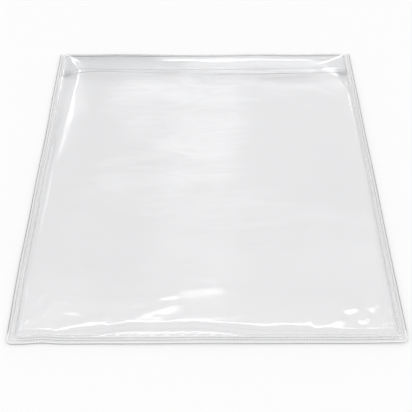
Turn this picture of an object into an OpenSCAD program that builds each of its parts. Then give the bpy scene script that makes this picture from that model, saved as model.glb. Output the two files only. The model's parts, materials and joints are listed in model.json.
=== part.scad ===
// Clear film sleeve for a 12-inch record, with knurled welds and a fold-over flap.
// It lies on its back: +X is right, +Y is towards the mouth and +Z is up.
// The origin is under the middle of the sleeve, on the plane it rests on.

/* [Sleeve] */
// Overall width across the two side beads
sleeve_width = 332; // [310:1:380]
// Overall length from the bottom bead to the fold of the flap
sleeve_length = 332; // [310:1:380]
// Thickness of the film
film = 0.3; // [0.2:0.05:0.4]
// Height that the front sheet puffs up above its welds
crown = 7; // [6:0.25:9]
// Further rise of the front sheet at its middle
bow = 0.6; // [0:0.1:1.5]
// Width of the rounded shoulder inside each weld
shoulder = 12; // [10:0.5:18]

/* [Welds] */
// Width of the knurled band of each weld
band = 4; // [3:0.25:6]
// Distance from one knurl to the next
knurl_pitch = 2.4; // [1.6:0.1:3]
// Height of the knurls over the welded film
knurl_rise = 0.4; // [0.2:0.05:0.5]
// Smooth border on each side of the knurls
knurl_border = 0.3; // [0.2:0.05:0.5]
// Smooth length of each weld at a bottom corner
smooth_end = 6; // [4:0.5:10]
// Width of the bead along the outer edge
bead = 2; // [1.6:0.1:2.4]
// Outer radius of the two bottom corners
corner = 5; // [4:0.5:6]

/* [Mouth and flap] */
// Distance from the fold to the mouth edge of the front sheet
mouth_depth = 27; // [22:1:36]
// Radius at the two ends of the mouth edge
mouth_radius = 9; // [4:0.5:12]
// How far the flap reaches past the mouth edge
overlap = 7; // [5:0.5:12]
// Radius of the flap's two free corners
flap_corner = 4; // [2:0.5:4.5]
// Outer radius of the fold
fold_radius = 1.2; // [1:0.1:1.5]
// How far the fold curls under its axis, in degrees
fold_curl = 20; // [10:1:30]
// Clearance between the flap and the pieces that it moves past
clearance = 0.3; // [0.3:0.05:0.5]

/* [Hidden] */
$fn = 64;
// Steps through a shoulder and across the flat middle of a sheet
arc_steps = 8;
flat_steps = 6;
// Welded film is two sheets thick
welded = 2 * film;
seam = bead + band;
half_width = sleeve_width / 2;
half_length = sleeve_length / 2;
pocket_half = sleeve_width / 2 - seam;
near_y = seam - half_length;
// Axis of the fold
axis_y = half_length - fold_radius;
axis_z = fold_radius;
mouth_y = half_length - mouth_depth;
slope = mouth_depth - fold_radius;
flap_half = pocket_half - 2 * clearance;
flap_y = mouth_y - overlap;
// Height of the flap over the crown, and its extra height at the fold
flap_base = welded + clearance;
fold_lift = 2 * fold_radius - film - flap_base;
knurl_width = band / 2 - knurl_border;
// The valleys of the knurls stay above the smooth weld
knurl_valley = knurl_rise / 4;

function clamp(t) = max(0, min(1, t));

// Rise of a shoulder that stands upright at its foot and ends level
function dome(t) = sqrt(1 - pow(1 - clamp(t), 2));

// Height of the puffed sleeve over its welds
function puff(x, y) =
    let (
        side = dome((pocket_half - abs(x)) / shoulder),
        near = dome((y - near_y) / shoulder),
        far = sin(90 * clamp((axis_y - y) / slope)),
        middle = (1 - pow(x / pocket_half, 2)) * (1 - pow(y / half_length, 2))
    )
    crown * min(side, near, far) + bow * max(0, middle);

// Drop of a rounded corner at a distance from the corner's side
function round_end(distance, radius) =
    distance >= radius ? 0 : radius - sqrt(pow(radius, 2) - pow(radius - distance, 2));

// Distances from the foot of a shoulder, closer together where it is steep
function shoulder_steps() =
    [for (k = [0:arc_steps]) shoulder * (1 - cos(90 * k / arc_steps))];

// Columns across a sheet that reaches the given half width
function columns(half) =
    let (
        flat = pocket_half - shoulder,
        inset = pocket_half - half,
        left = [for (d = shoulder_steps()) if (d > inset + clearance) d - pocket_half],
        middle = [for (k = [1:flat_steps - 1]) flat * (2 * k / flat_steps - 1)],
        right = [for (k = [len(left) - 1:-1:0]) -left[k]]
    )
    concat([-half], left, middle, right, [half]);

// Rows of the front sheet at one column, from the bottom weld to the mouth
function front_rows(x) =
    let (
        end = mouth_y + round_end(pocket_half - abs(x), mouth_radius),
        start = near_y + shoulder
    )
    concat(
        [for (d = shoulder_steps()) near_y + d],
        [for (k = [1:flat_steps]) start + (end - start) * k / flat_steps]
    );

// Rows of the flap at one column, from its free edge to the fold
function flap_rows(x) =
    concat(
        [flap_y + round_end(flap_half - abs(x), flap_corner)],
        [for (k = [arc_steps:-1:0]) axis_y - slope * k / arc_steps]
    );

function front_under(x, y) = film + puff(x, y);

function flap_under(x, y) =
    flap_base + puff(x, y) + fold_lift * pow(1 - clamp((axis_y - y) / slope), 2);

// Film between a grid of points on its underside and the same grid one film higher
module formed_film(grid) {
    rows = len(grid[0]);
    last_col = len(grid) - 1;
    last_row = rows - 1;
    under = [for (column = grid, p = column) p];
    over = [for (p = under) p + [0, 0, film]];
    up = len(under);
    function id(i, j) = i * rows + j;
    // Each cell is split along its higher diagonal, which keeps the hips sharp
    function cell(i, j) =
        let (a = id(i, j), b = id(i + 1, j), c = id(i + 1, j + 1), d = id(i, j + 1))
        under[a].z + under[c].z > under[b].z + under[d].z
            ? [[a, c, d], [a, b, c]]
            : [[a, b, d], [d, b, c]];
    below = [for (i = [0:last_col - 1], j = [0:last_row - 1]) each cell(i, j)];
    above = [for (f = below) [up + f[2], up + f[1], up + f[0]]];
    function wall(p, q) = [p, p + up, q + up, q];
    walls = concat(
        [for (i = [0:last_col - 1]) wall(id(i, 0), id(i + 1, 0))],
        [for (i = [0:last_col - 1]) wall(id(i + 1, last_row), id(i, last_row))],
        [for (j = [0:last_row - 1]) wall(id(0, j + 1), id(0, j))],
        [for (j = [0:last_row - 1]) wall(id(last_col, j), id(last_col, j + 1))]
    );
    polyhedron(points = concat(under, over), faces = concat(below, above, walls));
}

// One row of knurls along +X from the origin, standing on the smooth weld
module knurl_row(length, phase) {
    count = floor(length / knurl_pitch) - 1;
    start = (length - count * knurl_pitch) / 2 + (phase - 0.25) * knurl_pitch;
    valley = welded + knurl_valley;
    ridges = [
        for (k = [0:count - 1]) each [
            [start + k * knurl_pitch, valley],
            [start + (k + 0.5) * knurl_pitch, welded + knurl_rise]
        ]
    ];
    finish = start + count * knurl_pitch;
    rotate([90, 0, 0])
        linear_extrude(knurl_width)
            polygon(concat([[start, film]], ridges, [[finish, valley], [finish, film]]));
}

// Two rows of knurls side by side, half a pitch apart like a twisted strand
module knurls(length) {
    translate([0, band / 2, 0])
        knurl_row(length, 0);
    translate([0, band / 2 + knurl_width, 0])
        knurl_row(length, 0.5);
}

// Side weld along the pocket's left border, from the bottom weld to the mouth corner
module side_weld() {
    length = half_length - near_y;
    translate([bead - half_width, near_y, 0])
        cube([band, length, welded]);
    translate([bead - half_width + band, near_y, 0])
        rotate([0, 0, 90])
            knurls(length);
}

// Bead across its width, flat against the weld and round on top
module bead_profile() {
    square([bead, film]);
    translate([bead / 2, film])
        intersection() {
            circle(d = bead);
            translate([-bead / 2, 0])
                square([bead, bead / 2]);
        }
}

module side_bead() {
    translate([-half_width, half_length, 0])
        rotate([90, 0, 0])
            linear_extrude(sleeve_length - corner)
                bead_profile();
}

// Outline of the bottom weld with its two rounded outer corners
module bottom_outline() {
    inner_corner = corner - bead;
    half = half_width - bead;
    low = bead - half_length;
    intersection() {
        translate([-half, low])
            square([2 * half, band]);
        union() {
            translate([inner_corner - half, low])
                square([2 * (half - inner_corner), band]);
            translate([-half, low + inner_corner])
                square([2 * half, band]);
            for (side = [-1, 1])
                translate([side * (half - inner_corner), low + inner_corner])
                    circle(r = inner_corner);
        }
    }
}

// Sector that the fold leaves open, between its top and its curled lower end
module fold_opening() {
    reach = 3 * fold_radius;
    tail = 270 - fold_curl;
    polygon([
        [0, 0], [0, reach], [-reach, reach], [-reach, -reach],
        reach * [cos(tail), sin(tail)]
    ]);
}

module back_sheet() {
    color("LightSteelBlue")
        difference() {
            translate([-pocket_half, near_y, 0])
                cube([2 * pocket_half, axis_y - near_y, film]);
            translate([0, axis_y, axis_z])
                rotate([0, 90, 0])
                    cylinder(r = fold_radius + clearance, h = sleeve_width, center = true);
        }
}

module front_sheet() {
    color("AliceBlue")
        formed_film([
            for (x = columns(pocket_half))
                [for (y = front_rows(x)) [x, y, front_under(x, y)]]
        ]);
}

module left_weld() {
    color("Silver")
        side_weld();
}

module right_weld() {
    color("Silver")
        mirror([1, 0, 0])
            side_weld();
}

module bottom_weld() {
    color("Silver") {
        linear_extrude(welded)
            bottom_outline();
        translate([smooth_end - half_width, bead - half_length, 0])
            knurls(sleeve_width - 2 * smooth_end);
    }
}

module left_bead() {
    color("Gainsboro")
        side_bead();
}

module right_bead() {
    color("Gainsboro")
        mirror([1, 0, 0])
            side_bead();
}

module bottom_bead() {
    turn_x = half_width - corner;
    color("Gainsboro") {
        translate([-turn_x, -half_length, 0])
            rotate([90, 0, 90])
                linear_extrude(2 * turn_x)
                    bead_profile();
        for (side = [0, 1])
            mirror([side, 0, 0])
                translate([turn_x, corner - half_length, 0])
                    rotate([0, 0, -90])
                        rotate_extrude(angle = 90)
                            translate([corner - bead, 0])
                                bead_profile();
    }
}

module flap_fold() {
    color("SkyBlue")
        translate([-flap_half, axis_y, axis_z])
            rotate([90, 0, 90])
                linear_extrude(2 * flap_half)
                    difference() {
                        circle(r = fold_radius);
                        circle(r = fold_radius - film);
                        fold_opening();
                    }
}

module flap_sheet() {
    color("SkyBlue")
        formed_film([
            for (x = columns(flap_half))
                [for (y = flap_rows(x)) [x, y, flap_under(x, y)]]
        ]);
}

back_sheet();
front_sheet();
left_weld();
right_weld();
bottom_weld();
left_bead();
right_bead();
bottom_bead();
flap_fold();
flap_sheet();
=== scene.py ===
"""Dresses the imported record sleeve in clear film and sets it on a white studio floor.

Metres throughout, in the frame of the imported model: +X right, +Y to the mouth, +Z up.
"""

import json
import math
from collections import namedtuple

import bpy
import numpy as np
from mathutils import Matrix, Vector


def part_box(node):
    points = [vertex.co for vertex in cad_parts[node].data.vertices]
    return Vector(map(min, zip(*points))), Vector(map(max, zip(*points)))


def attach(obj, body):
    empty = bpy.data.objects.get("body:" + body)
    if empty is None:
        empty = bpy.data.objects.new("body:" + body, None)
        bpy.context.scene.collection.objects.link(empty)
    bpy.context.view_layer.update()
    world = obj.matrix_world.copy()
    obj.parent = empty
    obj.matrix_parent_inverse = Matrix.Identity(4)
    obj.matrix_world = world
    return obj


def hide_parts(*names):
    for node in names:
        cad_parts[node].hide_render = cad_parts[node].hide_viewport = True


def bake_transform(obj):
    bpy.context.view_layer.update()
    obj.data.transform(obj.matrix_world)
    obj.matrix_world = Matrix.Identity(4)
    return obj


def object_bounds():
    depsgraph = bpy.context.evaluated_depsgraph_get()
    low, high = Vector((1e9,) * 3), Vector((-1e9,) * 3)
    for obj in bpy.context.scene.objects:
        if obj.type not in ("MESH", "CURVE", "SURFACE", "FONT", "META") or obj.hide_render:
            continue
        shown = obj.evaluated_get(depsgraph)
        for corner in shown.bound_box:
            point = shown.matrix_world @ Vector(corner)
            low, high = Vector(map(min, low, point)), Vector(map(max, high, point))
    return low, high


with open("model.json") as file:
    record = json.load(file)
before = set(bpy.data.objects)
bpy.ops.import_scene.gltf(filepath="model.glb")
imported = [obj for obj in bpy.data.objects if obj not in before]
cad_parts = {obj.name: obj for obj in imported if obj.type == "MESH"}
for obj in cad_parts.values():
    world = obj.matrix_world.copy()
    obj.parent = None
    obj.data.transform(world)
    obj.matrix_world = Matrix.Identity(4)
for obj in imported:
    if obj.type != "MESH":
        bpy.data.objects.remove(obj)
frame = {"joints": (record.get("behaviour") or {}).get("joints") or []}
cad_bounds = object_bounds()

MM = 0.001

# Camera that fits the sleeve's four corners in the photograph
IMAGE_SIZE = 412
SENSOR = 36.0
CAMERA_LENS = 44.42
CAMERA_PLACE = Vector((-0.0022, -0.2788, 0.4185))
CAMERA_ELEVATION = math.radians(59.74)
CAMERA_YAW = math.radians(0.48)
CAMERA_ROLL = math.radians(0.22)

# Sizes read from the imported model
HALF_X, HALF_Y, LOW_Y = cad_bounds[1][0], cad_bounds[1][1], cad_bounds[0][1]
back_low, back_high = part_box("back_sheet")
front_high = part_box("front_sheet")[1]
flap_low, flap_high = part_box("flap_sheet")
fold_low, fold_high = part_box("flap_fold")
weld_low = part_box("bottom_weld")[0]
WELD_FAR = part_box("left_weld")[1].y
FILM = back_high.z - back_low.z
POCKET_HALF = front_high.x
NEAR_Y = back_low.y
FOLD_RADIUS = (fold_high.z - fold_low.z) / 2
FOLD_AXIS = Vector(frame["joints"][0]["pos_m"])
FLAP_HALF = flap_high.x
FLAP_EDGE_Y = flap_low.y

# Form of the film, as in the solids
CROWN = 7.0 * MM
BOW = 0.6 * MM
SHOULDER = 12.0 * MM
# Shoulder widths along the welds, as pairs of place and width in millimetres
LEFT_SHOULDER = [(-160, 11), (-60, 12), (0, 16), (50, 21), (100, 29), (120, 33), (139, 34)]
RIGHT_SHOULDER = [
    (-160, 11), (-80, 8), (0, 6), (60, 6.5), (100, 6.8), (124, 20), (139, 38), (165, 40),
]
# Where the right shoulder turns into the broad, evenly rounded one beside the flap's right hip
HIP_START, HIP_REACH = 124 * MM, 14 * MM
# How steep a shoulder is at its foot, as a power
SHOULDER_POWER, HIP_POWER = 3, 2
NEAR_SHOULDER = [
    (-160, 6), (-120, 4), (-100, 8), (-70, 5.5), (-38, 5.5), (-14, 8),
    (2, 8), (20, 8), (84, 10), (90, 4), (160, 4),
]
# Widths of the flat ledge between the bottom weld and the shoulder, in the same way
NEAR_LEDGE = [(-160, 1), (-125, 0), (-105, 1), (-60, 6), (-12, 6), (45, 1), (160, 1)]
# Short step at the shoulder's foot, and its share of the rise
NEAR_STEP, NEAR_STEP_SHARE = 4.0 * MM, 0.45
# Radius of the hollow fillet at a shoulder's foot, as a share of the shoulder's width
FILLET_SHARE = 0.15
# How softly a ledge turns into the shoulder
LEDGE_BLEND = 0.8 * MM
# How far the mouth edge and the flap's free edge sag, as pairs in the same way
MOUTH_SAG = [(-160, 0), (-140, 0.6), (-100, 2.5), (60, 2.5), (100, 1), (160, 0)]
FLAP_SAG = [
    (-160, 0), (-140, 0), (-120, -1), (-85, 0.5), (-40, 1.8),
    (20, 3.5), (55, 4.5), (95, 3), (160, 0.5),
]
MOUTH_RADIUS = 9.0 * MM
FLAP_CORNER = 4.0 * MM
CLEARANCE = 0.3 * MM
MOUTH_Y = front_high.y - MOUTH_RADIUS
FLAP_SLOPE = FOLD_AXIS.y - MOUTH_Y
FLAP_BASE = 2 * FILM + CLEARANCE
FOLD_LIFT = 2 * FOLD_RADIUS - FILM - FLAP_BASE

# Welds: two rows of teeth, measured from the pocket outwards
WELD_BAND = NEAR_Y - weld_low.y
BEAD = weld_low.y - LOW_Y
CORNER = 5.0 * MM
KNURL_PITCH = 2.4 * MM
KNURL_ROWS = (0.9 * MM, 2.9 * MM)
KNURL_HALF_WIDTH = 0.65 * MM
KNURL_SLANT = 0.6
# How square a tooth is across its row, and how narrow the painted shade in the valleys between
# teeth is
KNURL_SQUARE, KNURL_NARROW = 4, 1.5
KNURL_VALLEY = 0.1 * MM
KNURL_RISE = 0.4 * MM
RIB_HALF_WIDTH = 0.3 * MM
# Smooth length of a weld at a bottom corner
KNURL_END = 6.0 * MM
# How much fainter the teeth of the side welds are
SIDE_FADE = 0.5
KNURL_CELL = 0.4 * MM
KNURL_STEPS = 20
# Painted highlight, white and dull, on the weld's rims, the bead and the film's foot: how strong,
# and how far in
WELD_HIGHLIGHT, WELD_HIGHLIGHT_REACH = 0.9, 0.55 * MM
FOOT_HIGHLIGHT, FOOT_HIGHLIGHT_REACH = 0.6, 0.8 * MM
BEAD_HIGHLIGHT = 0.97
# Where the painted shade along the bead's outer foot ends and its painted highlight starts, as
# shares of its width, and how much further in they lie along the sides
BEAD_SHADE, BEAD_SHADE_SIDE, BEAD_SHADE_REACH = 0.24, 0.31, 0.16
BEAD_HIGHLIGHT_START, BEAD_HIGHLIGHT_SIDE, BEAD_HIGHLIGHT_REACH = 0.2, 0.38, 0.12
# Depth of the painted shade along the bead's outer foot by the near edge
BEAD_SHADE_DEPTH = 0.3
# Least radius of the seam's inner lines at a corner
INNER_CORNER = 0.3 * MM
CORNER_STEPS = 14
BEAD_CELL = 2.0 * MM
BEAD_STEPS = 12

# The left edge and half of the near edge bow outwards, and by the left corner is a kink
LEFT_BOW, LEFT_BOW_Y, LEFT_BOW_REACH = 1.0 * MM, -90 * MM, 65 * MM
NEAR_KINK, NEAR_KINK_X, NEAR_KINK_REACH = 1.0 * MM, -136 * MM, 10 * MM
NEAR_BOW, NEAR_BOW_X, NEAR_BOW_REACH = 0.5 * MM, 90 * MM, 100 * MM
# Where the near edge's bow and kink start, as a share of the way to it
NEAR_START, NEAR_REACH = 0.6, 0.4

# Slow wander of all edges along X, Y and Z: seed, reach, and shift in reaches, up off the floor
WANDER = ((31, 0.3 * MM, 0.0), (32, 0.2 * MM, 0.0), (33, 0.35 * MM, 1.6))
WANDER_WAVES, WANDER_LENGTHS = 6, (0.07, 0.25)

# Where the film's waves and creases fade in, as shares of the crown
RELIEF_START, RELIEF_REACH = 0.4, 0.5
# The waves start at a share of this distance from the sides, and are calmer on the right
WAVE_REACH, WAVE_MARGIN = 45 * MM, 0.35
CALM_SHARE, CALM_START, CALM_REACH = 0.65, 30 * MM, 60 * MM
# How much the waves' crests lean and bend
WAVE_LEAN, WAVE_BEND, WAVE_BEND_LENGTHS = 0.15, 0.5, (0.15, 0.4)

# Short random creases by the bottom weld
CRUMPLE_PLACE, CRUMPLE_SPREAD, CRUMPLE_LEAN = 8 * MM, 26 * MM, 0.35
# Power that gathers them towards the corners, and the share over which each end fades out
CRUMPLE_GATHER, CRUMPLE_FADE = 0.6, 0.5
# Their half lengths, heights and widths, each as a range in millimetres
CRUMPLE_HALVES, CRUMPLE_RISES, CRUMPLE_WIDTHS = (6, 20), (0.1, 0.26), (1.0, 2.0)

# Puckers by the bottom weld
PUCKER_RISE, PUCKER_PLACE, PUCKER_REACH = 0.20 * MM, 2.4 * MM, 1.6 * MM
PUCKER_LENGTHS = (4 * MM, 14 * MM)
# Two low ridges along the bottom weld: distance from it, and heights in the ledge's way
HEMS = [
    (5.6 * MM, [(-160, 0), (-110, 0), (-85, 0.3), (10, 0.3), (40, 0), (160, 0)]),
    (9.0 * MM, [(-160, 0), (-35, 0), (-12, 0.35), (25, 0.35), (50, 0), (160, 0)]),
]
HEM_REACH = 1.2 * MM

# How softly the sides of the puffed form run into one another, as a share of the crown
HIP_BLEND = 0.18

# Mesh fineness of the film
CELL = 1.3 * MM
SHOULDER_STEPS = 16
FOLD_STEPS = 14
BACK_STEPS = 120

# A soft ridge in the film along a line of photograph pixels, its height and width in millimetres
Crease = namedtuple("Crease", "pixels height width")
# Share of a crease's length over which each end fades out
CREASE_FADE = 0.35

# Creases of the front film, named by where they lie in the photograph
FRONT_CREASES = {
    "left_shoulder_line": Crease(
        [(79, 72), (75, 90), (72, 100), (66.5, 120), (61, 140), (54, 172)], 0.12, 1.3,
    ),
    "near_left_fold": Crease([(54, 328), (80, 324), (112, 317)], 0.8, 4.5),
    "near_left_rise": Crease([(126, 319), (154, 311), (186, 302.5)], 0.5, 4.0),
    "near_left_tick": Crease([(155, 298), (181, 295.5)], 0.5, 2.6),
    "near_middle_swell": Crease([(162, 288.5), (200, 287.5), (238, 286)], 1.0, 7.5),
    "near_right_upper": Crease([(338, 311), (361, 306)], 0.72, 3.3),
    "right_corner_upper": Crease([(366, 311), (381, 298)], 0.92, 4.0),
    "right_corner_middle": Crease([(359, 323), (370, 313)], 0.75, 3.4),
    "near_right_fold": Crease([(310, 326), (330, 323.5), (347, 315)], 0.95, 4.5),
    "near_right_tick": Crease([(354, 331), (367, 328)], 0.60, 2.5),
    "right_corner_ray": Crease([(376, 329), (388, 327), (400, 327.5)], 0.50, 1.6),
    "right_corner_ray_low": Crease([(372, 335), (385, 331.5), (398, 332)], 0.60, 1.6),
    "right_corner_ray_high": Crease([(376, 325), (390, 321), (402, 321)], 0.46, 1.6),
    "right_corner_side": Crease([(384, 300), (395, 316), (402, 330)], 0.54, 1.6),
    "left_corner_upper": Crease([(36, 302), (48, 291)], 0.28, 2.2),
    "left_corner_fold": Crease([(40, 319), (57, 296)], 0.30, 3.0),
    "left_corner_ray": Crease([(14, 330), (24, 322), (40, 312)], 0.12, 1.6),
    "left_corner_ray_low": Crease([(18, 336), (34, 330), (52, 327)], 0.20, 1.6),
    "far_right_streak": Crease([(308, 89), (322, 93), (338, 97)], 0.17, 1.8),
    "below_flap": Crease([(256, 78.5), (280, 77.5), (300, 75.5), (316, 71.5)], 0.55, 2.0),
    "far_streak": Crease([(150, 101), (182, 99), (215, 97)], 0.36, 6.0),
    "middle_streak": Crease([(165, 124), (205, 121), (245, 118)], 0.36, 6.0),
    "inner_streak": Crease([(165, 165), (205, 163)], 0.27, 5.0),
}

# Creases of the flap, whose right end is crumpled
FLAP_CREASES = {
    "middle_line": Crease([(150, 65), (182, 69.4), (204, 71.5), (250, 73.4)], 0.63, 1.6),
    "left_hip": Crease([(67, 56), (74, 64), (81, 71)], 0.54, 1.4),
    "right_hip": Crease([(345, 55.5), (328, 62), (310, 69)], 0.25, 3.0),
    "free_edge": Crease([(215, 75), (250, 75.7), (285, 75), (318, 72)], 0.6, 2.0),
    "right_end_high": Crease([(321, 72), (334, 69), (347, 68)], 0.35, 1.4),
    "right_end_low": Crease([(322, 76), (338, 72.5), (350, 71)], 0.35, 1.4),
}


# Camera geometry

def camera_axes():
    """Right, up and forward directions of the camera."""
    forward = Vector((
        math.sin(CAMERA_YAW) * math.cos(CAMERA_ELEVATION),
        math.cos(CAMERA_YAW) * math.cos(CAMERA_ELEVATION),
        -math.sin(CAMERA_ELEVATION),
    ))
    level = forward.cross(Vector((0, 0, 1))).normalized()
    upright = level.cross(forward)
    right = math.cos(CAMERA_ROLL) * level + math.sin(CAMERA_ROLL) * upright
    up = right.cross(forward)
    return right, up, forward


def photo_point(pixel, height):
    """Point at a height over the floor that a pixel of the photograph shows."""
    right, up, forward = camera_axes()
    focal = CAMERA_LENS / SENSOR * IMAGE_SIZE
    ray = (
        forward
        + right * ((pixel[0] - IMAGE_SIZE / 2) / focal)
        - up * ((pixel[1] - IMAGE_SIZE / 2) / focal)
    )
    spot = CAMERA_PLACE + ray * ((height - CAMERA_PLACE.z) / ray.z)
    return spot.x, spot.y


def add_camera():
    data = bpy.data.cameras.new("photo_camera")
    data.lens = CAMERA_LENS
    data.sensor_width = SENSOR
    camera = bpy.data.objects.new("photo_camera", data)
    right, up, forward = camera_axes()
    turn = Matrix((right, up, -forward)).transposed().to_4x4()
    camera.matrix_world = Matrix.Translation(CAMERA_PLACE) @ turn
    bpy.context.scene.collection.objects.link(camera)
    bpy.context.scene.camera = camera


# Form of the film

def dome(t, power):
    """Rise of a shoulder that is steep at its foot and ends level."""
    return 1 - (1 - np.clip(t, 0, 1)) ** power


def rise(distance, width, ledge=0.0):
    """Share of the crown at a distance from a weld, past a ledge and a hollow fillet."""
    fillet = FILLET_SHARE * width
    beyond = LEDGE_BLEND * np.log1p(np.exp((distance - ledge) / LEDGE_BLEND))
    return dome((np.sqrt(beyond**2 + fillet**2) - fillet) / width, SHOULDER_POWER)


def smooth_min(a, b, blend):
    """Lesser of two values, rounded off where they are close."""
    h = np.clip(0.5 + 0.5 * (b - a) / blend, 0, 1)
    return b * (1 - h) + a * h - blend * h * (1 - h)


def smooth_step(t):
    """Rise from 0 to 1 that is level at both ends."""
    t = np.clip(t, 0, 1)
    return t * t * (3 - 2 * t)


def swell(distance, reach):
    """Soft bump of height 1 that falls off over a reach."""
    return np.exp(-((distance / reach) ** 2))


def fade_ends(along, share):
    """1 along the middle of a line, and down to 0 over a share of it at each end."""
    return smooth_step(along / share) * smooth_step((1 - along) / share)


def uneven(place, steps):
    """Measure at a place, from pairs of place and measure in millimetres."""
    places, measures = np.array(steps).T * MM
    k = np.clip(np.searchsorted(places, place) - 1, 0, len(places) - 2)
    part = smooth_step((place - places[k]) / (places[k + 1] - places[k]))
    return measures[k] + (measures[k + 1] - measures[k]) * part


def puff(x, y):
    """Height of the puffed sleeve over its welds, with softly rounded hips."""
    left = rise(POCKET_HALF + x, uneven(y, LEFT_SHOULDER))
    width = uneven(y, RIGHT_SHOULDER)
    hip = smooth_step((y - HIP_START) / HIP_REACH)
    right = (1 - hip) * rise(POCKET_HALF - x, width)
    right += hip * dome((POCKET_HALF - x) / width, HIP_POWER)
    side = np.minimum(left, right)
    ledge = uneven(x, NEAR_LEDGE)
    near = NEAR_STEP_SHARE * rise(y - NEAR_Y, NEAR_STEP, ledge)
    near += (1 - NEAR_STEP_SHARE) * rise(y - NEAR_Y, uneven(x, NEAR_SHOULDER), ledge)
    far = np.sin(np.pi / 2 * np.clip((FOLD_AXIS.y - y) / FLAP_SLOPE, 0, 1))
    share = np.maximum(smooth_min(smooth_min(side, near, HIP_BLEND), far, HIP_BLEND), 0)
    middle = (1 - (x / POCKET_HALF) ** 2) * (1 - (y / HALF_Y) ** 2)
    return CROWN * share + BOW * np.maximum(middle, 0)


def line_distance(x, y, points):
    """Distance to a line of points, and how far along it the nearest spot lies, 0 to 1."""
    best = np.full(x.shape, np.inf)
    along = np.zeros(x.shape)
    pairs = list(zip(points[:-1], points[1:]))
    lengths = [math.dist(a, b) for a, b in pairs]
    total = sum(lengths)
    done = 0.0
    for (a, b), length in zip(pairs, lengths):
        dx, dy = (b[0] - a[0]) / length, (b[1] - a[1]) / length
        t = np.clip((x - a[0]) * dx + (y - a[1]) * dy, 0, length)
        d = np.hypot(x - a[0] - t * dx, y - a[1] - t * dy)
        nearer = d < best
        best = np.where(nearer, d, best)
        along = np.where(nearer, (done + t) / total, along)
        done += length
    return best, along


def ridges(x, y, creases):
    """Height of the creases, which fade out at both ends."""
    height = np.zeros(x.shape)
    for crease in creases.values():
        points = [photo_point(pixel, CROWN) for pixel in crease.pixels]
        d, along = line_distance(x, y, points)
        fade = np.sqrt(fade_ends(along, CREASE_FADE))
        height += crease.height * MM * fade * swell(d, crease.width * MM)
    return height


def ripples(x, y, seed, count, amplitude, shortest, longest):
    """Faint uneven waves whose crests run mostly across the sleeve."""
    rng = np.random.RandomState(seed)
    height = np.zeros(x.shape)
    for _ in range(count):
        length = rng.uniform(shortest, longest)
        lean = rng.normal(0, WAVE_LEAN)
        phase = rng.uniform(0, 2 * math.pi)
        place = (y * math.cos(lean) + x * math.sin(lean)) / length
        bend_length = rng.uniform(*WAVE_BEND_LENGTHS)
        bend = WAVE_BEND * np.sin(2 * math.pi * x / bend_length + phase)
        height += np.sin(2 * math.pi * place + bend + phase) * length / longest
    return height * amplitude / math.sqrt(count)


def crumples(x, y, seed, count):
    """Short random creases along the bottom weld, closest together towards its corners."""
    rng = np.random.RandomState(seed)
    height = np.zeros(x.shape)
    for _ in range(count):
        outwards = rng.uniform(0, 1) ** CRUMPLE_GATHER
        across = POCKET_HALF * math.copysign(outwards, rng.uniform(-1, 1))
        up = NEAR_Y + CRUMPLE_PLACE + CRUMPLE_SPREAD * rng.uniform(0, 1) ** 2
        lean = rng.normal(0, CRUMPLE_LEAN)
        half = rng.uniform(*CRUMPLE_HALVES) * MM
        reach = half * math.cos(lean), half * math.sin(lean)
        points = [(across - reach[0], up - reach[1]), (across + reach[0], up + reach[1])]
        d, along = line_distance(x, y, points)
        fade = fade_ends(along, CRUMPLE_FADE)
        size = rng.uniform(*CRUMPLE_RISES) * MM
        width = rng.uniform(*CRUMPLE_WIDTHS) * MM
        height += size * fade * swell(d, width)
    return height


def puckers(x, y, seed, count):
    """Tiny waves where the film leaves the bottom weld."""
    rng = np.random.RandomState(seed)
    waves = np.zeros(x.shape)
    for _ in range(count):
        length, shift = rng.uniform(*PUCKER_LENGTHS), rng.uniform(0, 1)
        waves += np.sin(2 * math.pi * (x / length + shift))
    strength = PUCKER_RISE * swell(y - NEAR_Y - PUCKER_PLACE, PUCKER_REACH)
    return strength * waves / math.sqrt(count)


def hem(x, y):
    """Low ridges along the bottom weld."""
    return sum(
        uneven(x, steps) * swell(y - NEAR_Y - place, HEM_REACH)
        for place, steps in HEMS
    )


def relief(x, y):
    """Waves and creases of the puffed film, which die out down the shoulders."""
    flatness = smooth_step((puff(x, y) / CROWN - RELIEF_START) / RELIEF_REACH)
    inwards = smooth_step((POCKET_HALF - np.abs(x)) / WAVE_REACH - WAVE_MARGIN)
    waves = ripples(x, y, seed=7, count=12, amplitude=0.5 * MM, shortest=0.06, longest=0.16)
    waves += ripples(x, y, seed=21, count=16, amplitude=0.21 * MM, shortest=0.012, longest=0.035)
    waves *= 1 - CALM_SHARE * smooth_step((x - CALM_START) / CALM_REACH)
    folds = crumples(x, y, seed=5, count=30) + ridges(x, y, FRONT_CREASES)
    small = puckers(x, y, seed=11, count=8) + hem(x, y)
    return flatness * (inwards * waves + folds) + small


def settle(points):
    """Lets the whole sleeve lie a little unevenly: its edges wander and lift off the floor."""
    x, y = points[..., 0], points[..., 1]
    moved = points.copy()
    for axis, (seed, reach, lift) in enumerate(WANDER):
        rng = np.random.RandomState(seed)
        shift = np.full(x.shape, lift)
        for _ in range(WANDER_WAVES):
            length, heading = rng.uniform(*WANDER_LENGTHS), rng.uniform(0, math.pi)
            way = (x * math.cos(heading) + y * math.sin(heading)) / length
            shift += np.sin(2 * math.pi * (way + rng.uniform(0, 1))) / math.sqrt(WANDER_WAVES)
        moved[..., axis] += reach * shift
    leftness = smooth_step(-x / HALF_X)
    nearness = smooth_step((y / LOW_Y - NEAR_START) / NEAR_REACH)
    moved[..., 0] -= LEFT_BOW * leftness * swell(y - LEFT_BOW_Y, LEFT_BOW_REACH)
    moved[..., 1] -= NEAR_BOW * nearness * swell(x - NEAR_BOW_X, NEAR_BOW_REACH)
    moved[..., 1] += NEAR_KINK * nearness * swell(x - NEAR_KINK_X, NEAR_KINK_REACH)
    return moved


def grid_normals(points):
    """Unit normals of the film at a grid of points."""
    across = np.gradient(points, axis=0)
    along = np.gradient(points, axis=1)
    normals = np.cross(across, along)
    return normals / np.linalg.norm(normals, axis=2, keepdims=True)


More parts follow.
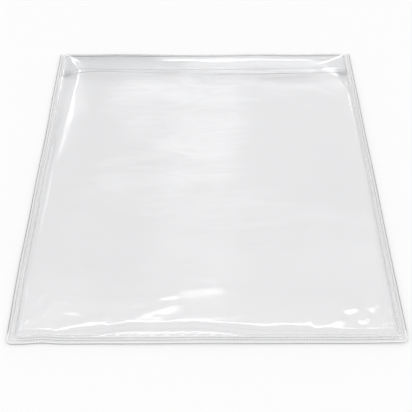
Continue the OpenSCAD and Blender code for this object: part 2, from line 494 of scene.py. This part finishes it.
def mesh_object(name, verts, faces, materials):
    mesh = bpy.data.meshes.new(name)
    mesh.from_pydata(verts, [], faces)
    for material in materials:
        mesh.materials.append(material)
    mesh.update()
    piece = bpy.data.objects.new(name, mesh)
    bpy.context.scene.collection.objects.link(piece)
    return piece


def set_measure(piece, name, measure):
    """Gives the first points of a piece, those of its shaped faces, a measure for its material."""
    values = np.zeros(len(piece.data.vertices))
    values[:measure.size] = measure.ravel()
    piece.data.attributes.new(name, "FLOAT", "POINT").data.foreach_set("value", values)


def highlight_rim(distance, reach):
    """Painted highlight near a rim: full at first, and gone at one and a half times the reach."""
    return smooth_step(1.5 - distance / reach)


# Material slots of a film's cut edge and of its bend, after that of the clear film
EDGE_SLOT, BEND_SLOT = 1, 2


def film_object(name, points, thickness, free_row, clear, bent_rows=0):
    """Closed film with one face on a grid of points and the other along its normals.

    The rim along the free row, the first or the last, is a cut edge. The last rows may be bent.
    """
    columns, rows = points.shape[:2]
    points = settle(points)
    upper = points + grid_normals(points) * thickness
    verts = np.concatenate([points.reshape(-1, 3), upper.reshape(-1, 3)])
    step = columns * rows
    ids = np.arange(step).reshape(columns, rows)
    a, b = ids[:-1, :-1].ravel(), ids[1:, :-1].ravel()
    c, d = ids[1:, 1:].ravel(), ids[:-1, 1:].ravel()
    below = np.stack([a, d, c, b], 1)
    above = np.stack([a, b, c, d], 1) + step
    loop = np.concatenate([ids[:-1, 0], ids[-1, :-1], ids[:0:-1, -1], ids[0, :0:-1]])
    following = np.roll(loop, -1)
    rim = np.stack([loop, following, following + step, loop + step], 1)
    faces = np.concatenate([below, above, rim])
    piece = mesh_object(name, verts.tolist(), faces.tolist(), [clear, film_edge, film_bend])
    mesh = piece.data
    free = ids[:, free_row]
    cut = np.isin(loop, free) & np.isin(following, free)
    slots = np.zeros(len(faces), np.int32)
    slots[-len(rim):][cut] = EDGE_SLOT
    bent = np.tile(np.arange(rows - 1) >= rows - 1 - bent_rows, columns - 1)
    slots[:2 * len(bent)][np.tile(bent, 2)] = BEND_SLOT
    mesh.polygons.foreach_set("material_index", slots)
    smooth = np.ones(len(faces), bool)
    smooth[-len(rim):] = False
    mesh.polygons.foreach_set("use_smooth", smooth)
    return piece


def shoulder_places():
    """Distances from the foot of a shoulder, closer together where it is steep."""
    turn = np.linspace(0, math.pi / 2, SHOULDER_STEPS + 1)
    return SHOULDER * (1 - np.cos(turn))


def cross_columns(half):
    """Places across a sheet that reaches the given half width."""
    inset = POCKET_HALF - half
    foot = shoulder_places()
    foot = foot[foot > inset + CLEARANCE / 2]
    left = np.concatenate([[inset], foot]) - POCKET_HALF
    count = round(2 * (POCKET_HALF - SHOULDER) / CELL)
    middle = np.linspace(left[-1], -left[-1], count + 1)[1:-1]
    return np.concatenate([left, middle, -left[::-1]])


def round_end(distance, radius):
    """Drop of a rounded corner at a distance from the corner's side."""
    inside = np.clip(radius - distance, 0, radius)
    return radius - np.sqrt(radius**2 - inside**2)


# Materials

# Share of light that each face of the plastic mirrors straight on
MIRROR_SHARE = 0.045
# Name of the measure of painted shade, between two teeth and along the bead's outer foot
PAINTED_SHADE = "valley"
# Name of the measure of painted highlight, white and dull, on the weld's rims, the bead and the
# film's foot
PAINTED_HIGHLIGHT = "painted_highlight"
# White of the dull painted highlight
HIGHLIGHT_WHITE = (0.95, 0.95, 0.95, 1)
FLOOR_WHITE = (0.98, 0.98, 0.98, 1)
# Fine grain of the gloss, and soft clouds in the tint
GRAIN_SCALE, GRAIN_DETAIL, GRAIN_DEPTH = 260, 2, 0.1 * MM
CLOUD_SCALE, CLOUD_DETAIL, CLOUD_SHARE = 14, 3, 0.04
# How late the tint and the shadow deepen towards a grazing view
EDGE_POWER, SHADOW_POWER = 2.5, 3


def new_material(name):
    material = bpy.data.materials.new(name)
    material.use_nodes = True
    material.node_tree.nodes.clear()
    return material, material.node_tree.nodes, material.node_tree.links


def math_node(nodes, links, operation, first, second):
    """Result of an operation on two numbers or sockets."""
    node = nodes.new("ShaderNodeMath")
    node.operation = operation
    for socket, value in zip(node.inputs, (first, second)):
        if isinstance(value, (int, float)):
            socket.default_value = value
        else:
            links.new(value, socket)
    return node.outputs[0]


def schlick(nodes, links, facing):
    """Share of light that a face mirrors by Schlick's formula, most at a grazing view."""
    grazing = math_node(nodes, links, "POWER", facing, 5)
    share = math_node(nodes, links, "MULTIPLY_ADD", grazing, 1 - MIRROR_SHARE)
    share.node.inputs[2].default_value = MIRROR_SHARE
    return share


def blend_colours(nodes, links, factor, first, second):
    mix = nodes.new("ShaderNodeMix")
    mix.data_type = "RGBA"
    links.new(factor, mix.inputs["Factor"])
    for socket, value in (("A", first), ("B", second)):
        if isinstance(value, tuple):
            mix.inputs[socket].default_value = (*value, 1)
        else:
            links.new(value, mix.inputs[socket])
    return mix.outputs["Result"]


def noise(nodes, links, place, scale, detail):
    texture = nodes.new("ShaderNodeTexNoise")
    texture.inputs["Scale"].default_value = scale
    texture.inputs["Detail"].default_value = detail
    links.new(place, texture.inputs["Vector"])
    return texture.outputs["Fac"]


def measure_of(nodes, name):
    """Measure that set_measure has given to the points of a piece."""
    attribute = nodes.new("ShaderNodeAttribute")
    attribute.attribute_name = name
    return attribute.outputs["Fac"]


def mix_shaders(nodes, links, factor, first, second):
    mix = nodes.new("ShaderNodeMixShader")
    for socket, value in zip(mix.inputs, (factor, first, second)):
        links.new(value, socket)
    return mix.outputs["Shader"]


def clear_plastic(
    name, tint, edge_tint, roughness, grain, passing, valley_tint=None, highlighted=False,
):
    """Clear glossy plastic that lets the light of lamps pass straight through.

    Its tint is deeper where the plastic is seen edge on, partly for the longer path through it
    and partly as painted shade for the dark edges of clear plastic. Painted shade darkens the
    valleys between teeth and the bead's outer foot, and a white matte layer paints highlights
    where its measure asks. The two shares of light that pass are those straight on and at a
    grazing angle.
    """
    material, nodes, links = new_material(name)
    place = nodes.new("ShaderNodeTexCoord").outputs["Object"]

    bump = nodes.new("ShaderNodeBump")
    bump.inputs["Strength"].default_value = grain
    bump.inputs["Distance"].default_value = GRAIN_DEPTH
    links.new(noise(nodes, links, place, GRAIN_SCALE, GRAIN_DETAIL), bump.inputs["Height"])

    cloud = noise(nodes, links, place, CLOUD_SCALE, CLOUD_DETAIL)
    # At an even blend, facing goes from 0 straight on to 1 edge on
    layer = nodes.new("ShaderNodeLayerWeight")
    layer.inputs["Blend"].default_value = 0.5
    facing = layer.outputs["Facing"]
    # Deeper tint seen edge on: partly the longer path through the plastic, partly painted shade
    clouded = math_node(nodes, links, "MULTIPLY_ADD", cloud, CLOUD_SHARE)
    depth = math_node(nodes, links, "POWER", facing, EDGE_POWER)
    links.new(depth, clouded.node.inputs[2])
    shade = blend_colours(nodes, links, clouded, tint, edge_tint)
    # Painted shade in the valleys between teeth and along the bead's outer foot
    if valley_tint:
        shade = blend_colours(nodes, links, measure_of(nodes, PAINTED_SHADE), shade, valley_tint)

    # The film is too thin to bend the view
    through = nodes.new("ShaderNodeBsdfRefraction")
    through.inputs["IOR"].default_value = 1.0
    through.inputs["Roughness"].default_value = 0.0
    links.new(shade, through.inputs["Color"])
    gloss = nodes.new("ShaderNodeBsdfGlossy")
    gloss.inputs["Color"].default_value = (1, 1, 1, 1)
    gloss.inputs["Roughness"].default_value = roughness
    links.new(bump.outputs["Normal"], gloss.inputs["Normal"])
    mirrored = schlick(nodes, links, facing)
    seen = mix_shaders(nodes, links, mirrored, through.outputs["BSDF"], gloss.outputs["BSDF"])
    # A white matte layer paints highlights where the measure asks for them
    if highlighted:
        matte = nodes.new("ShaderNodeBsdfDiffuse")
        matte.inputs["Color"].default_value = HIGHLIGHT_WHITE
        seen = mix_shaders(nodes, links, measure_of(nodes, PAINTED_HIGHLIGHT), seen, matte.outputs["BSDF"])

    shadow = nodes.new("ShaderNodeBsdfTransparent")
    slant = math_node(nodes, links, "POWER", facing, SHADOW_POWER)
    straight, grazing = ((share, share, share) for share in passing)
    links.new(blend_colours(nodes, links, slant, straight, grazing), shadow.inputs["Color"])
    path = nodes.new("ShaderNodeLightPath")
    lit = math_node(
        nodes, links, "MAXIMUM",
        path.outputs["Is Shadow Ray"], path.outputs["Is Diffuse Ray"],
    )
    output = nodes.new("ShaderNodeOutputMaterial")
    surface = mix_shaders(nodes, links, lit, seen, shadow.outputs["BSDF"])
    links.new(surface, output.inputs["Surface"])
    return material


def floor_material():
    material, nodes, links = new_material("white_floor")
    matte = nodes.new("ShaderNodeBsdfDiffuse")
    matte.inputs["Color"].default_value = FLOOR_WHITE
    output = nodes.new("ShaderNodeOutputMaterial")
    links.new(matte.outputs["BSDF"], output.inputs["Surface"])
    return material


# The film's foot by the welds carries a painted highlight
film = clear_plastic(
    "clear_film", tint=(0.983, 0.983, 0.986), edge_tint=(0.93, 0.935, 0.94),
    roughness=0.11, grain=0.15, passing=(0.980, 0.82), highlighted=True,
)
# The flap, the bend and the cut edge are copies of the film with deeper tints: on the flap it is
# painted shade that darkens the strip, and on the bend and cut edge it is partly the longer path
# through the plastic and partly painted shade for the dark lines along the fold and the edges
shaded_flap_clear = clear_plastic(
    "flap_film", tint=(0.945, 0.946, 0.949), edge_tint=(0.86, 0.865, 0.87),
    roughness=0.11, grain=0.15, passing=(0.988, 0.88),
)
film_bend = clear_plastic(
    "bent_film", tint=(0.95, 0.952, 0.955), edge_tint=(0.55, 0.56, 0.57),
    roughness=0.07, grain=0.15, passing=(0.96, 0.6),
)
film_edge = clear_plastic(
    "film_edge", tint=(0.52, 0.53, 0.54), edge_tint=(0.40, 0.41, 0.42),
    roughness=0.15, grain=0.1, passing=(0.8, 0.5),
)
# The weld carries painted shade in the valleys between its teeth and a painted highlight along its
# rims
weld = clear_plastic(
    "knurled_weld", tint=(0.993, 0.993, 0.995), edge_tint=(0.75, 0.76, 0.77),
    roughness=0.12, grain=0.2, passing=(0.97, 0.75),
    valley_tint=(0.32, 0.33, 0.34), highlighted=True,
)
# The bead carries painted shade along its outer foot and a painted highlight over the rest
bead = clear_plastic(
    "edge_bead", tint=(0.998, 0.998, 0.998), edge_tint=(0.45, 0.46, 0.47),
    roughness=0.08, grain=0.1, passing=(0.7, 0.32),
    valley_tint=(0.50, 0.51, 0.52), highlighted=True,
)


# Pieces

def front_film():
    """Puffed front sheet, from the bottom weld to the mouth."""
    xs = cross_columns(POCKET_HALF)
    mouth = MOUTH_Y + round_end(POCKET_HALF - np.abs(xs), MOUTH_RADIUS) - uneven(xs, MOUTH_SAG)
    foot = NEAR_Y + shoulder_places()
    count = round((MOUTH_Y - foot[-1]) / CELL)
    rest = np.linspace(0, 1, count + 1)[1:]
    ys = np.concatenate([
        np.repeat(foot[None, :], len(xs), 0),
        foot[-1] + (mouth[:, None] - foot[-1]) * rest[None, :],
    ], 1)
    x = np.repeat(xs[:, None], ys.shape[1], 1)
    z = FILM + puff(x, ys) + relief(x, ys)
    points = np.stack([x, ys, z], 2)
    piece = film_object("front_film", points, FILM, -1, film)
    # Along the sides the painted highlight is narrower and fainter
    off = np.minimum(ys - NEAR_Y, 2 * (POCKET_HALF - np.abs(x)) + FOOT_HIGHLIGHT_REACH / 2)
    painted_highlight = FOOT_HIGHLIGHT * highlight_rim(off, FOOT_HIGHLIGHT_REACH)
    set_measure(piece, PAINTED_HIGHLIGHT, np.stack([painted_highlight, painted_highlight]))
    return piece


def back_film():
    """Flat back sheet, from the bottom weld to the fold."""
    xs = np.linspace(-POCKET_HALF, POCKET_HALF, BACK_STEPS)
    ys = np.linspace(NEAR_Y, FOLD_AXIS.y, BACK_STEPS)
    x, y = np.meshgrid(xs, ys, indexing="ij")
    points = np.stack([x, y, np.zeros(x.shape)], 2)
    piece = film_object("back_film", points, FILM, -1, film)
    return piece


def flap_film():
    """Flap from its free edge to the fold, and the fold down to the back sheet."""
    xs = cross_columns(FLAP_HALF)
    turn = np.linspace(math.pi / 2, -math.pi / 2, FOLD_STEPS + 1)
    inner = FOLD_RADIUS - FILM
    fold_y = FOLD_AXIS.y + inner * np.cos(turn)
    fold_z = FOLD_AXIS.z + inner * np.sin(turn)
    edge = FLAP_EDGE_Y + round_end(FLAP_HALF - np.abs(xs), FLAP_CORNER) - uneven(xs, FLAP_SAG)
    count = round((FOLD_AXIS.y - FLAP_EDGE_Y) / CELL)
    part = np.linspace(0, 1, count + 1)[:-1]
    flap_y = edge[:, None] + (FOLD_AXIS.y - edge[:, None]) * part[None, :]
    x = np.repeat(xs[:, None], flap_y.shape[1], 1)
    slope = np.clip((FOLD_AXIS.y - flap_y) / FLAP_SLOPE, 0, 1)
    flap_z = FLAP_BASE + puff(x, flap_y) + FOLD_LIFT * (1 - slope) ** 2
    flap_z += relief(x, flap_y) + ridges(x, flap_y, FLAP_CREASES)
    columns = len(xs)
    y = np.concatenate([flap_y, np.repeat(fold_y[None, :], columns, 0)], 1)
    z = np.concatenate([flap_z, np.repeat(fold_z[None, :], columns, 0)], 1)
    x = np.repeat(xs[:, None], y.shape[1], 1)
    points = np.stack([x, y, z], 2)
    piece = film_object("flap_film", points, FILM, 0, shaded_flap_clear, FOLD_STEPS // 2)
    return piece


def knurls(along, across):
    """Height of two rows of slanted teeth with a rib between, and the painted shade in the valleys
    between teeth.
    """
    height = np.zeros(along.shape)
    valley = np.zeros(along.shape)
    for row in KNURL_ROWS:
        off = (across - row) / KNURL_HALF_WIDTH
        inside = np.clip(1 - off**KNURL_SQUARE, 0, 1)
        turn = 2 * math.pi * (along + KNURL_SLANT * (across - row)) / KNURL_PITCH
        crest = 0.5 + 0.5 * np.cos(turn)
        height += inside * (KNURL_VALLEY + (KNURL_RISE - KNURL_VALLEY) * crest)
        valley += inside * (1 - crest) ** KNURL_NARROW
    rib = (across - sum(KNURL_ROWS) / 2) / RIB_HALF_WIDTH
    return height + KNURL_RISE * np.clip(1 - rib**2, 0, 1), valley


def seam_path(offset, cell):
    """Points along the left, bottom and right edges, at offsets in from the outline.

    With them come how far along its edge each point lies and how far it is from a bottom corner.
    """
    centre = np.maximum(CORNER, offset + INNER_CORNER)
    radius = centre - offset
    side_part = np.linspace(0, 1, round((WELD_FAR - LOW_Y) / cell) + 1)[:, None]
    bottom_part = np.linspace(0, 1, round(2 * HALF_X / cell) + 1)[1:-1, None]
    turn = np.linspace(0, math.pi / 2, CORNER_STEPS + 1)[1:-1, None]
    side_y = WELD_FAR + (LOW_Y + centre - WELD_FAR) * side_part
    side_x = np.broadcast_to(offset - HALF_X, side_y.shape)
    bottom_x = (centre - HALF_X) * (1 - 2 * bottom_part)
    corner_x = centre - HALF_X - radius * np.cos(turn)
    corner_y = LOW_Y + centre - radius * np.sin(turn)
    end_x = np.broadcast_to(centre - HALF_X, (1, len(offset)))
    end_y = np.broadcast_to(LOW_Y + offset, (1, len(offset)))
    bottom_y = np.broadcast_to(LOW_Y + offset, bottom_x.shape)
    x = np.concatenate([side_x, corner_x, end_x, bottom_x, -end_x, -corner_x[::-1], -side_x[::-1]])
    y = np.concatenate([side_y, corner_y, end_y, bottom_y, end_y, corner_y[::-1], side_y[::-1]])
    upright = np.abs(x) / HALF_X > np.abs(y) / abs(LOW_Y)
    along = np.where(upright, y, x)
    clear = np.hypot(HALF_X - np.abs(x), y - LOW_Y)
    return x, y, along, clear


def seam_object(name, x, y, z, material):
    """Closed strip along the seam, with the given top and a flat underside."""
    stations, steps = x.shape
    top = np.stack([x, y, z], 2).reshape(-1, 3)
    base = np.stack([x, y, 0 * z], 2)[:, [0, -1]].reshape(-1, 3)
    ids = np.arange(len(top)).reshape(stations, steps)
    low = len(top) + np.arange(len(base)).reshape(stations, 2)

    def quads(a, b):
        return np.stack([a[:-1], b[:-1], b[1:], a[1:]], -1).reshape(-1, 4).tolist()

    faces = np.stack([
        ids[:-1, :-1].ravel(), ids[1:, :-1].ravel(), ids[1:, 1:].ravel(), ids[:-1, 1:].ravel(),
    ], 1).tolist()
    smooth_count = len(faces)
    faces += quads(low[:, 0], low[:, 1])
    faces += quads(ids[:, 0], low[:, 0])
    faces += quads(low[:, 1], ids[:, -1])
    faces.append([*ids[0].tolist(), *low[0, ::-1].tolist()])
    faces.append([*ids[-1, ::-1].tolist(), *low[-1].tolist()])
    piece = mesh_object(name, settle(np.concatenate([top, base])).tolist(), faces, [material])
    flags = np.zeros(len(faces), bool)
    flags[:smooth_count] = True
    piece.data.polygons.foreach_set("use_smooth", flags)
    return piece


def weld_seam():
    """Knurled weld along three edges."""
    offset = np.linspace(BEAD, BEAD + WELD_BAND, KNURL_STEPS + 1)
    x, y, along, clear = seam_path(offset, KNURL_CELL)
    teeth = smooth_step(clear / KNURL_END - 1)
    across = np.broadcast_to(BEAD + WELD_BAND - offset, x.shape)
    height, valley = knurls(along, across)
    teeth *= 1 - SIDE_FADE * smooth_step((y - NEAR_Y) / KNURL_END)
    piece = seam_object("weld_seam", x, y, 2 * FILM + teeth * height, weld)
    # Painted shade in the valleys between the teeth
    set_measure(piece, PAINTED_SHADE, teeth * valley)
    off = np.minimum(across, WELD_BAND - across)
    # Painted highlight along the weld's rims
    set_measure(piece, PAINTED_HIGHLIGHT, WELD_HIGHLIGHT * highlight_rim(off, WELD_HIGHLIGHT_REACH))
    return piece


def bead_seam():
    """Smooth rounded bead outside the weld."""
    turn = np.linspace(0, math.pi, BEAD_STEPS + 1)
    offset = BEAD / 2 * (1 - np.cos(turn))
    x, y, _, _ = seam_path(offset, BEAD_CELL)
    z = np.broadcast_to(FILM + BEAD / 2 * np.sin(turn), x.shape)
    piece = seam_object("edge_bead", x, y, z, bead)
    across = np.broadcast_to(offset / BEAD, x.shape)
    sideways = smooth_step((y - NEAR_Y) / KNURL_END)
    # Painted shade along the bead's outer foot, fainter by the near edge
    rim = smooth_step((BEAD_SHADE + BEAD_SHADE_SIDE * sideways - across) / BEAD_SHADE_REACH)
    set_measure(piece, PAINTED_SHADE, rim * (BEAD_SHADE_DEPTH + (1 - BEAD_SHADE_DEPTH) * sideways))
    # Painted highlight over the bead, all but its outer foot
    white = smooth_step((across - BEAD_HIGHLIGHT_START - BEAD_HIGHLIGHT_SIDE * sideways) / BEAD_HIGHLIGHT_REACH)
    set_measure(piece, PAINTED_HIGHLIGHT, BEAD_HIGHLIGHT * white)
    return piece


add_camera()

front = front_film()
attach(front, "pocket")
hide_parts("front_sheet")

back = back_film()
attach(back, "pocket")
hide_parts("back_sheet")

flap = flap_film()
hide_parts("flap_fold", "flap_sheet")
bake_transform(flap)

seam = weld_seam()
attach(seam, "pocket")
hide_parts("left_weld", "right_weld", "bottom_weld")

edge = bead_seam()
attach(edge, "pocket")
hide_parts("left_bead", "right_bead", "bottom_bead")


# Studio

FLOOR_HALF = 4.0
# The floor lies a hair below the sleeve
FLOOR_GAP = 0.2 * MM
GLOW_DISTANCE = 2.0
# How many degrees the bands of light lie to the right
BAND_SIDE = 3
# Heights between which the darker horizon turns into the bright sky, as sines of the elevation
HORIZON_TOP, SKY_START = 0.1, 0.5
# Spots on the sleeve that lamps are aimed at
MIDDLE = (0, 0, 0)
FAR_EDGE = (0, 0.15, 0)
LEFT_HIP, RIGHT_HIP = (-0.14, 0.15, 0), (0.14, 0.15, 0)
LEFT_SHOULDER_SPOT, RIGHT_SHOULDER_SPOT = (-0.14, 0.1, 0), (0.15, 0.09, 0)
INNER_SPOT = (0, 0.05, 0)


def add_floor():
    half, gap = FLOOR_HALF, FLOOR_GAP
    mesh = bpy.data.meshes.new("floor")
    corners = [(-half, -half, -gap), (half, -half, -gap), (half, half, -gap), (-half, half, -gap)]
    mesh.from_pydata(corners, [], [(0, 1, 2, 3)])
    mesh.materials.append(floor_material())
    floor = bpy.data.objects.new("floor", mesh)
    bpy.context.scene.collection.objects.link(floor)


def add_softbox(name, place, target, width, depth, radiance, fade=90):
    """Lamp of the given radiance straight on, which fades out at an angle of some degrees."""
    data = bpy.data.lights.new(name, "AREA")
    data.shape = "RECTANGLE"
    data.size = width
    data.size_y = depth
    # An area lamp's radiance is a quarter of its watts per area
    data.energy = 4 * radiance * width * depth
    if fade < 90:
        # A narrower lamp is made brighter to keep its power, which this undoes
        angle = math.radians(fade)
        data.spread = 2 * angle
        data.energy *= 1 - angle / math.tan(angle)
    box = bpy.data.objects.new(name, data)
    box.location = place
    aim = Vector(target) - Vector(place)
    box.rotation_euler = aim.to_track_quat("-Z", "Y").to_euler()
    bpy.context.scene.collection.objects.link(box)
    return box


def add_reflection(name, place, target, width, depth, radiance, fade=90):
    """Lamp that lights nothing and is only mirrored in the film."""
    add_softbox(name, place, target, width, depth, radiance, fade).visible_diffuse = False


def add_glow(name, side, elevation, radiance, fade, width=0.8, depth=0.8):
    """Soft glow, seen mirrored in the film so many degrees to the side and up."""
    mirrored = Vector((CAMERA_PLACE.x, CAMERA_PLACE.y, -CAMERA_PLACE.z))
    turn, lift = math.radians(side), math.radians(elevation)
    heading = Vector((
        math.sin(turn), math.cos(turn) * math.cos(lift), math.cos(turn) * math.sin(lift),
    ))
    place = mirrored + GLOW_DISTANCE * heading
    add_reflection(name, place, mirrored, width, depth, radiance, fade)


def add_world(level, horizon):
    """Even light on the object and plain white behind it, with a darker horizon in reflections."""
    world = bpy.data.worlds.new("studio")
    bpy.context.scene.world = world
    world.use_nodes = True
    nodes, links = world.node_tree.nodes, world.node_tree.links
    nodes.clear()
    light = nodes.new("ShaderNodeBackground")
    light.inputs["Strength"].default_value = level
    white = nodes.new("ShaderNodeBackground")
    path = nodes.new("ShaderNodeLightPath")
    seen = math_node(
        nodes, links, "MAXIMUM",
        path.outputs["Is Camera Ray"], path.outputs["Is Glossy Ray"],
    )
    seen = math_node(nodes, links, "MAXIMUM", seen, path.outputs["Is Transmission Ray"])
    place = nodes.new("ShaderNodeTexCoord").outputs["Generated"]
    split = nodes.new("ShaderNodeSeparateXYZ")
    links.new(place, split.inputs["Vector"])
    sky = nodes.new("ShaderNodeMapRange")
    sky.interpolation_type = "SMOOTHSTEP"
    sky.inputs["From Min"].default_value = HORIZON_TOP
    sky.inputs["From Max"].default_value = SKY_START
    sky.inputs["To Min"].default_value = 1 - horizon
    sky.inputs["To Max"].default_value = 0
    links.new(split.outputs["Z"], sky.inputs["Value"])
    glossy = path.outputs["Is Glossy Ray"]
    dimmed = math_node(nodes, links, "MULTIPLY", sky.outputs["Result"], glossy)
    links.new(math_node(nodes, links, "SUBTRACT", 1.0, dimmed), white.inputs["Strength"])
    output = nodes.new("ShaderNodeOutputWorld")
    surface = mix_shaders(
        nodes, links, seen, light.outputs["Background"], white.outputs["Background"],
    )
    links.new(surface, output.inputs["Surface"])


add_floor()
add_world(level=1.07, horizon=0.45)

# Two large lamps that light the sleeve from both sides
for name, side in (("key_left", -1), ("key_right", 1)):
    add_softbox(name, (side * 3.3, -0.3, 2.2), MIDDLE, 2.2, 2.6, radiance=1.0)

# Bright lines of the flap, its hips and the side shoulders
add_reflection("far_panel", (0.105, 1.2, 0.33), FAR_EDGE, 0.47, 0.125, radiance=2.4)
add_reflection("far_low", (0.15, 1.2, 0.17), FAR_EDGE, 0.6, 0.12, radiance=0.6)
add_reflection("far_wash", (0.27, 1.2, 0.66), FAR_EDGE, 0.65, 0.45, radiance=0.7)
add_reflection("hip_left", (-0.67, 1.14, 0.50), LEFT_HIP, 0.30, 0.24, radiance=2.8)
add_reflection("hip_right", (0.62, 1.18, 0.40), RIGHT_HIP, 0.30, 0.30, radiance=2.4)
add_reflection("hip_right_high", (0.51, 1.17, 0.66), RIGHT_HIP, 0.28, 0.30, radiance=2.2)
add_reflection("left_strip", (-0.654, 0.987, 0.80), LEFT_SHOULDER_SPOT, 0.12, 0.2, radiance=2.8)
add_reflection("left_strip_high", (-0.60, 0.90, 0.95), LEFT_SHOULDER_SPOT, 0.12, 0.12, radiance=1.8)
add_reflection("left_skirt", (-0.64, 0.96, 0.86), LEFT_SHOULDER_SPOT, 0.34, 0.32, radiance=0.5)
add_reflection("left_strip_low", (-0.80, 0.60, 0.83), INNER_SPOT, 0.10, 0.45, radiance=1.2)
for name, side, radiance in (("left_low", -1, 1.3), ("right_low", 1, 0.8)):
    add_reflection(name, (side * 1.17, 0.265, 0.59), (side * 0.15, -0.12, 0), 0.10, 0.4, radiance)
add_reflection("right_strip", (0.663, 0.905, 0.88), RIGHT_SHOULDER_SPOT, 0.22, 0.09, radiance=3.6)

# Soft light over the middle, the bright spot by the near edge and faint streaks across
for step, radiance in enumerate((0.17, 0.18, 0.06, 0.31)):
    add_glow(f"glow_{step}", side=0, elevation=46 + 8 * step, radiance=radiance, fade=11)
add_glow("spot", side=-1, elevation=81, radiance=2.1, fade=9)
add_glow("streak_right", side=11, elevation=45, radiance=0.9, fade=11, width=0.45, depth=0.06)
for step, (side, elevation, width) in enumerate((
    (-1, 44.5, 0.66), (-4, 48, 0.5), (-1, 52, 0.4), (-3, 56.5, 0.5),
)):
    radiance = 1.2 - 0.15 * step
    add_glow(f"streak_{step}", side, elevation, radiance, fade=11, width=width, depth=0.06)
for step, elevation in enumerate((60.5, 65)):
    radiance = 0.34 - 0.08 * step
    add_glow(f"band_{step}", BAND_SIDE, elevation, radiance, fade=35, width=1.3, depth=0.06)
add_glow("wash", side=12, elevation=53, radiance=0.17, fade=20)
for step, side in enumerate((-15, 15)):
    add_glow(f"wing_{step}", side, elevation=76, radiance=0.3, fade=14)
for step, radiance in enumerate((3.4, 3.4, 2.8, 2.2, 2.8, 2.6)):
    add_glow(f"overhead_{step}", 8 * (step - 2), elevation=89, radiance=radiance, fade=10)

bpy.context.scene.view_settings.view_transform = "Standard"
